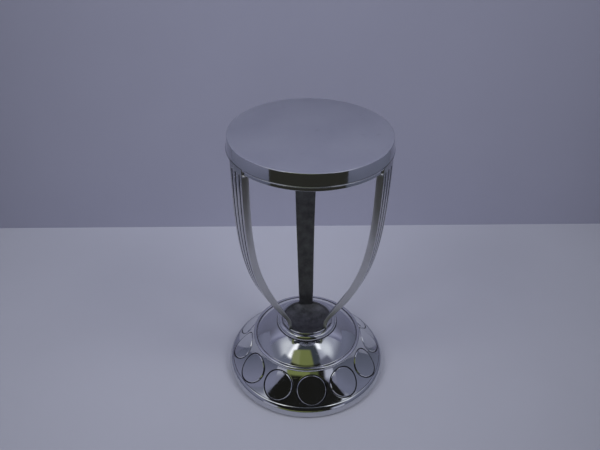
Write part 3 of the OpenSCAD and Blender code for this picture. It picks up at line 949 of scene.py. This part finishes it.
def add_flare(bm):
    """Adds the bays of the flare. The recesses are painted dark as shade, and the joints above and
    below are dark too.
    """
    lines = bay_lines()

    def dark(i, k):
        at_joint = k == 0 and (i // BAY_SIDE) % 2 == 0
        return 1 if k >= BAY_RINGS or at_joint else 0

    for number in range(MEDALLIONS):
        columns = [[bm.verts.new(spot(number) @ p) for p in line] for line in lines]
        add_skin(bm, columns, range(len(lines[0]) - 1), dark)
        bm.faces.new([column[-1] for column in columns]).material_index = 1


def add_dome(bm):
    """Adds all that isn't flare: the hollow inside, the neck, the dome and the bead ring."""
    mid = ((BEAD_RING_IN[0] + BEAD_RING_OUT[0]) / 2, (BEAD_RING_IN[1] + BEAD_RING_OUT[1]) / 2)
    bead = math.dist(BEAD_RING_IN, BEAD_RING_OUT) / 2 + BEAD_SWELL
    dome = arc((COLLAR_R, SHOULDER_Z), BEAD_RING_IN, DOME_RISE, 40)
    bead_arc = ellipse(mid, bead, bead, 138, -52, 24)
    dome_end = next(i for i, p in enumerate(dome) if math.dist(p, mid) < bead)
    top, bottom = flare_point(0, -1), flare_point(0, 1)
    neck_out_r = NECK_R + SHELL_T
    neck_floor = HUB_Z - SHELL_T
    inside = [
        (FLARE_END[0] - 1.2, 14.2), (FLARE_END[0] - 4.0, 14.0), (MID_R - 4.5, MID_Z - 5.5),
        (BEAD_RING_OUT[0] - 5, BEAD_RING_OUT[1] - 6), (COLLAR_R + 2, SHOULDER_Z - 4),
        (neck_out_r, SHOULDER_Z - 4), (neck_out_r, neck_floor), (SHELL_HOLE_R, neck_floor),
        (SHELL_HOLE_R, HUB_Z), (NECK_R, HUB_Z), (NECK_R, SHOULDER_Z),
    ]
    outline = [(bottom.x, bottom.z)] + inside + dome[:dome_end] + bead_arc + [(top.x, top.z)]
    # Dark lines lie on both sides of the bead ring and where the dome meets the collar
    bead_start = len(outline) - 1 - len(bead_arc)
    dark_rows = (bead_start - dome_end, bead_start - 1, bead_start, len(outline) - 2)
    first = math.radians(270 + MEDALLION_TURN - math.degrees(BAY) / 2)
    segments = MEDALLIONS * BAY_SIDE
    angles = [first + 2 * math.pi * i / segments for i in range(segments)]
    columns = add_columns(bm, outline, angles, polar)
    add_skin(bm, columns, range(len(outline) - 1), lambda i, k: 1 if k in dark_rows else 0)


def build_shell():
    """The spun shell in one mesh: flare with recesses, bead ring, dome and neck."""
    bm = bmesh.new()
    add_flare(bm)
    add_dome(bm)
    finish = [CHROME_SHELL, GROOVE_TARNISH_AND_SHADE]
    make_piece("foot_shell", bm, finish, ["base_shell"], sharp=45)


def medallion_outline():
    """Half outline of a medallion as (radius, height over the flare), from underside to face."""
    face_r = MEDALLION_R - MEDALLION_BEVEL
    edge = MEDALLION_FACE - MEDALLION_BEVEL
    under = MEDALLION_GAP - RECESS_DEPTH
    face = []
    for k in range(MEDALLION_RINGS + 1):
        r = face_r * (1 - k / MEDALLION_RINGS)
        face.append((r, MEDALLION_FACE + MEDALLION_DOME * (1 - (r / face_r) ** 2)))
    return rounded([
        (0, under), (MEDALLION_R, under, 0.2), (MEDALLION_R, edge, 0.25),
        (*face[0], 0.25), face[1],
    ], n=5) + face[2:]


def build_medallion(i):
    """A disc pressed to the curve of the flare, with a bevelled edge and a side painted dark as
    shade.
    """
    bm = bmesh.new()
    outline = medallion_outline()
    angles = [2 * math.pi * k / MEDALLION_SEGMENTS for k in range(MEDALLION_SEGMENTS)]
    side_top = MEDALLION_FACE - MEDALLION_BEVEL - 0.2

    def on_flare(r, angle, height):
        x, y = math.cos(angle), math.sin(angle)
        rise = flare_at(x * r, y * r)[2] if r else 0.0
        return on_tangent(x, y, r, rise + height)

    # Painted shade on the disc's side, below its bevel.
    def dark(_, k):
        return 1 if (outline[k][1] + outline[k + 1][1]) / 2 < side_top else 0

    columns = add_columns(bm, outline, angles, on_flare)
    add_skin(bm, columns, range(len(outline) - 1), dark)
    bmesh.ops.transform(bm, matrix=spot(i), verts=bm.verts)
    node = f"medallion_{i + 1:02d}"
    finish = [CHROME_MEDALLION, GROOVE_TARNISH_AND_SHADE]
    make_piece(node + "_disc", bm, finish, [node], sharp=60)


# ---- Underside ----


def build_felt():
    """The soft ring under the foot, with rounded lower edges."""
    bm = bmesh.new()
    outer = half_width("felt_ring")
    add_revolve(bm, rounded([
        (FELT_IN_R + 4, 0), (outer, 0, 0.9), (outer, FELT_TOP, 0.3),
        (FELT_IN_R, FELT_TOP, 0.3), (FELT_IN_R, 0, 0.9), (FELT_IN_R + 2, 0),
    ], n=4))
    make_piece("felt_ring_pad", bm, [FELT], ["felt_ring"])


def build_cover():
    """The painted disc that closes the foot."""
    bm = bmesh.new()
    r = half_width("bottom_cover")
    low, high = low_z("bottom_cover"), high_z("bottom_cover")
    add_revolve(bm, rounded([(0, low), (r, low, 0.4), (r, high, 0.3), (0, high)], n=4))
    make_piece("bottom_cover_disc", bm, [ENAMEL], ["bottom_cover"])


def dress_cad_nodes():
    """Gives the CAD nodes that stay in view or inside their materials."""
    hardware = (
        "plate_screws", "leg_head_screws", "leg_foot_screws", "cover_screws",
        "centre_stud", "centre_washer", "centre_nut",
    )
    finish = {**dict.fromkeys(hardware, ZINC), "plate_bosses": BRASS, "ballast_plate": IRON}
    for node, material in finish.items():
        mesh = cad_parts[node].data
        mesh.materials.clear()
        mesh.materials.append(material)


build_plate()
build_carrier()
for leg_name, leg_angle in LEG_ANGLES.items():
    build_leg(leg_name, leg_angle)
build_hub()
build_collar()
build_foot_ring()
build_shell()
for number in range(MEDALLIONS):
    build_medallion(number)
build_felt()
build_cover()
dress_cad_nodes()

# ---- Room ----

# Share of the light that the polished metal gives back
CHROME_SHARE = 0.68


def stage_plane(name, corners, material):
    """A flat piece of the room, which isn't part of the object."""
    mesh = bpy.data.meshes.new(name)
    mesh.from_pydata([Vector(c) for c in corners], [], [range(len(corners))])
    mesh.materials.append(material)
    plane = bpy.data.objects.new(name, mesh)
    bpy.context.scene.collection.objects.link(plane)
    return plane


def reflected_only(card):
    """The card shows in polished metal, and neither the camera nor soft light meets it."""
    card.visible_camera = False
    card.visible_diffuse = False
    card.visible_shadow = False
    card.visible_transmission = False


def glow(name, low, high=None, top=1.0, from_below=False):
    """Light as bright as chrome should show it: colour low at the floor, high from height top."""
    material = bpy.data.materials.new(name)
    material.use_nodes = True
    s = Nodes(material.node_tree)
    s.tree.nodes.clear()
    place = s.add("ShaderNodeTexCoord").outputs["Object"]
    height = s.add("ShaderNodeSeparateXYZ", {"Vector": place}).outputs["Z"]
    colour = s.mix(s.span(height, 0.0, top), rgb(*low), rgb(*(high or low)))
    emission = s.add("ShaderNodeEmission", {"Color": colour, "Strength": 1.0 / CHROME_SHARE})
    above = 0.0
    if from_below:
        facing = s.add("ShaderNodeNewGeometry").outputs["Backfacing"]
        above = s.math("SUBTRACT", 1.0, facing)
    clear = s.add("ShaderNodeBsdfTransparent")
    s.mix_shaders(above, emission, clear, s.add("ShaderNodeOutputMaterial"))
    return material


def paint(name, colour, roughness):
    """Pale paint with soft patches. Returns its shader and its colour."""
    s = Shader(name, metallic=0.0, specular=0.15)
    patch = s.noise(3.0, detail=5.0)
    speck = s.span(s.noise(220.0, detail=2.0), 0.74, 0.8, 0.0, 0.2)
    soft = s.mix(s.span(patch, 0.35, 0.65), rgb(*colour), rgb(*[c * 0.96 for c in colour]))
    s.set("Roughness", roughness)
    return s, s.mix(speck, soft, rgb(*[c * 0.8 for c in colour]))


def painted_side_shade(s, loss):
    """How much painted shade darkens the room at a distance from its middle line."""
    x = s.split()["X"]
    return s.math("MULTIPLY", s.math("MULTIPLY", x, x), loss)


def table_paint():
    """Pale table with painted light: darker towards the camera, at the sides and more on the right.
    """
    s, colour = paint("pale_table", (0.50, 0.51, 0.56), 0.6)
    # Painted light: the colour is scaled from dark near the camera to light towards the wall, less
    # the painted shade at the sides.
    light = s.span(s.split()["Y"], -0.4, 0.4, 0.78, 1.30)
    loss = s.math("MINIMUM", painted_side_shade(s, 0.88), 0.35)
    loss = s.math("ADD", loss, s.span(s.split()["X"], 0.0, 0.35, 0.0, 0.10))
    s.set("Base Color", s.scale(colour, s.math("SUBTRACT", light, loss)))
    return s.material


def wall_paint():
    """Pale wall that only shows from its front, so that a view from behind sees the stand."""
    s, colour = paint("pale_wall", tone(158, 159, 174), 0.8)
    z = s.split()["Z"]
    # Painted light: a little lighter near the floor and much lighter towards the top, with painted
    # shade at the sides.
    light = s.math("ADD", s.span(z, 0.0, 0.42, 1.17, 1.06), s.span(z, 0.42, 0.85, 0.0, 0.9))
    loss = s.math("MINIMUM", painted_side_shade(s, 1.05), 0.4)
    s.set("Base Color", s.scale(colour, s.math("SUBTRACT", light, loss)))
    clear = s.add("ShaderNodeBsdfTransparent")
    back = s.add("ShaderNodeNewGeometry").outputs["Backfacing"]
    seen = s.add("ShaderNodeLightPath").outputs["Is Camera Ray"]
    output = s.tree.nodes["Material Output"]
    s.mix_shaders(s.math("MULTIPLY", back, seen), s.bsdf, clear, output)
    return s.material


# How far the stand is turned in the room, in degrees, then places in metres
ROOM_TURN = -3.5
WALL_Y = 0.338
WALL_TURN = 2.7
WALL_TOP = 1.6
LEFT_SIDE_X, RIGHT_SIDE_X = -0.56, 0.505
SIDE_FRONT = -0.47
SIDE_TOP = 0.4
TABLE_FRONT = -0.352
CARD_LOW, CARD_HIGH, CARD_Z = (-0.165, -0.30), (0.155, -0.134), 0.12
FAR = 3.0
FLOOR_END = 4


def turned(x, y, z):
    """A point of the room in the frame's coordinates."""
    return Matrix.Rotation(math.radians(ROOM_TURN), 3, "Z") @ Vector((x, y, z))


def flat(low, high, z):
    """Corners of a level rectangle."""
    return [turned(x, y, z) for x, y in (low, (high[0], low[1]), high, (low[0], high[1]))]


def build_room():
    """Table and wall, and cards that only the polished metal sees."""
    stage_plane("floor", flat((-FLOOR_END, -FLOOR_END), (FLOOR_END, FLOOR_END), 0), table_paint())
    dark = glow("dark_front", tone(39, 39, 35))
    front = flat((-FAR, -FAR), (FAR, TABLE_FRONT), 0.001)
    reflected_only(stage_plane("dark_below_table", front, dark))
    black = glow("black_front", tone(21, 21, 19), from_below=True)
    reflected_only(stage_plane("black_over_table", flat(CARD_LOW, CARD_HIGH, CARD_Z), black))
    left_side = glow("left_wall_glow", tone(74, 78, 92), tone(106, 108, 126), 0.25)
    right_side = glow("right_wall_glow", tone(74, 78, 90), tone(98, 101, 118), 0.30)
    for x, side in ((LEFT_SIDE_X, left_side), (RIGHT_SIDE_X, right_side)):
        ends = ((SIDE_FRONT, 0), (WALL_Y, 0), (WALL_Y, SIDE_TOP), (SIDE_FRONT, SIDE_TOP))
        reflected_only(stage_plane("side_wall", [turned(x, y, z) for y, z in ends], side))
    slant = math.tan(math.radians(WALL_TURN)) * FAR
    left, right = WALL_Y - slant, WALL_Y + slant
    wall = [(-FAR, left, 0), (FAR, right, 0), (FAR, right, WALL_TOP), (-FAR, left, WALL_TOP)]
    stage_plane("back_wall", [turned(*c) for c in wall], wall_paint())


# What the polished metal mirrors. Low patches are (azimuth from, to, height from, to, softness,
# colour) in degrees, where azimuth 0 is the side of the camera and grows to the right.
LOW_PATCHES = (
    (-36, 34, -20, 45, 4, tone(22, 21, 17)),
    (-62, -36, 28, 50, 6, tone(92, 96, 110)),
    (34, 60, 28, 50, 6, tone(88, 90, 104)),
    (-66, -32, 2, 17, 7, tone(150, 152, 164)),
    (34, 64, 2, 17, 7, tone(164, 167, 180)),
    (-34, 8, 3, 12, 4, tone(106, 114, 68)),
    (8, 22, 3, 12, 4, tone(74, 81, 50)),
)
# High patches lie on a ceiling one unit up: across at its middle line, how far that drifts for
# each unit towards the camera, for the left and the right edge; then from and to; softness; colour.
HIGH_PATCHES = (
    (-1.60, 0.0, 1.50, 0.0, -0.9, 1.1, 0.8, tone(98, 101, 115)),
    (-0.95, 0.0, 1.10, 0.0, -0.6, 0.9, 0.5, tone(140, 143, 156)),
    (-0.78, -0.2, -0.22, -0.9, -0.10, 0.70, 0.40, tone(190, 193, 198)),
    (-0.22, -0.85, -0.03, -0.8, 0.02, 1.0, 0.12, tone(250, 251, 252)),
    (0.18, 0.9, 0.75, 0.6, -0.05, 0.42, 0.40, tone(196, 200, 206)),
    (0.20, 0.5, 0.32, 0.5, 0.02, 0.24, 0.08, tone(250, 252, 255)),
    (-0.16, -0.35, 0.16, 0.55, 0.12, 4.0, 0.08, tone(50, 55, 61)),
    (-0.22, -0.46, 0.02, 0.30, 0.30, 1.4, 0.07, tone(101, 108, 64)),
    (-0.22, -0.46, -0.12, -0.15, 0.32, 1.4, 0.10, tone(116, 121, 84)),
)


def build_world():
    """Even light for dull surfaces, and the patches above for polished ones."""
    world = bpy.data.worlds.new("surroundings")
    world.use_nodes = True
    s = Nodes(world.node_tree)
    ray = s.add("ShaderNodeTexCoord").outputs["Generated"]
    turn = s.add(
        "ShaderNodeVectorRotate", {"Vector": ray, "Angle": math.radians(-ROOM_TURN)},
        rotation_type="Z_AXIS",
    )
    split = s.add("ShaderNodeSeparateXYZ", {"Vector": turn.outputs[0]})
    towards = s.math("MULTIPLY", split.outputs["Y"], -1.0)
    up = s.math("MAXIMUM", split.outputs["Z"], 0.05)
    azimuth = s.math("MULTIPLY", s.math("ARCTAN2", split.outputs["X"], towards), 180 / math.pi)
    height = s.math("MULTIPLY", s.math("ARCSINE", split.outputs["Z"]), 180 / math.pi)
    across = s.math("DIVIDE", split.outputs["X"], up)
    ahead = s.math("DIVIDE", towards, up)

    def past(value, edge, soft, sign=1):
        """1 where value is past the edge, or short of it with sign -1."""
        ends = (0.0, 1.0) if sign > 0 else (1.0, 0.0)
        low, high = edge - soft / 2, edge + soft / 2
        return s.span(value, low, high, *ends, interpolation_type="SMOOTHSTEP")

    def drift(slope):
        return s.math("SUBTRACT", across, s.math("MULTIPLY", ahead, slope))

    def layer(base, colour, *masks):
        mask = masks[0]
        for other in masks[1:]:
            mask = s.math("MULTIPLY", mask, other)
        return s.mix(mask, base, rgb(*colour))

    colour = s.add("ShaderNodeRGB").outputs[0]
    colour.default_value = rgb(*tone(104, 106, 122))
    for left, left_drift, right, right_drift, first, last, soft, patch in HIGH_PATCHES:
        colour = layer(
            colour, patch, past(height, 12, 4),
            past(drift(left_drift), left, soft), past(drift(right_drift), right, soft, -1),
            past(ahead, first, soft), past(ahead, last, soft, -1),
        )
    for left, right, low, high, soft, patch in LOW_PATCHES:
        colour = layer(
            colour, patch, past(azimuth, left, soft), past(azimuth, right, soft, -1),
            past(height, low, soft), past(height, high, soft, -1),
        )
    mirrored = s.add("ShaderNodeBackground", {"Color": colour, "Strength": 1.0 / CHROME_SHARE})
    even = s.add("ShaderNodeBackground", {"Color": rgb(*tone(178, 180, 198)), "Strength": 1.0})
    glossy = s.add("ShaderNodeLightPath").outputs["Is Glossy Ray"]
    s.mix_shaders(glossy, even, mirrored, s.tree.nodes["World Output"])
    bpy.context.scene.world = world


build_room()
build_world()


def soft_light(name, x):
    """A lamp above and in front of the stand, at x to its side, which no metal mirrors."""
    data = bpy.data.lights.new(name, "AREA")
    data.shape = "RECTANGLE"
    data.size, data.size_y = 0.6, 0.6
    data.energy = 4.0
    light = bpy.data.objects.new(name, data)
    light.location = (x, -0.5, 1.2)
    aim = Vector((0, 0, 0.1)) - light.location
    light.rotation_euler = aim.to_track_quat("-Z", "Y").to_euler()
    light.visible_glossy = False
    bpy.context.scene.collection.objects.link(light)


soft_light("lamp_left", -0.8)
soft_light("lamp_right", 0.8)

# ---- Camera ----

# Metres, then degrees, then the focal length in millimetres
CAMERA_BACK = 0.6546
CAMERA_UP = 0.685
CAMERA_HEADING = -2.554
CAMERA_PITCH = 34.544
CAMERA_ROLL = 0.567
CAMERA_LENS = 38.11


def place_camera():
    """Puts the camera in front of the room's middle line, looking down at the stand."""
    data = bpy.data.cameras.new("camera")
    data.lens = CAMERA_LENS
    camera = bpy.data.objects.new("camera", data)
    bpy.context.scene.collection.objects.link(camera)
    turn = Matrix.Rotation(math.radians(CAMERA_HEADING), 4, "Z")
    tip = Matrix.Rotation(math.radians(90 - CAMERA_PITCH), 4, "X")
    roll = Matrix.Rotation(math.radians(CAMERA_ROLL), 4, "Z")
    angle = math.radians(ROOM_TURN)
    place = Vector((CAMERA_BACK * math.sin(angle), -CAMERA_BACK * math.cos(angle), CAMERA_UP))
    camera.matrix_world = Matrix.Translation(place) @ turn @ tip @ roll
    bpy.context.scene.camera = camera


place_camera()
bpy.context.scene.view_settings.view_transform = "Standard"
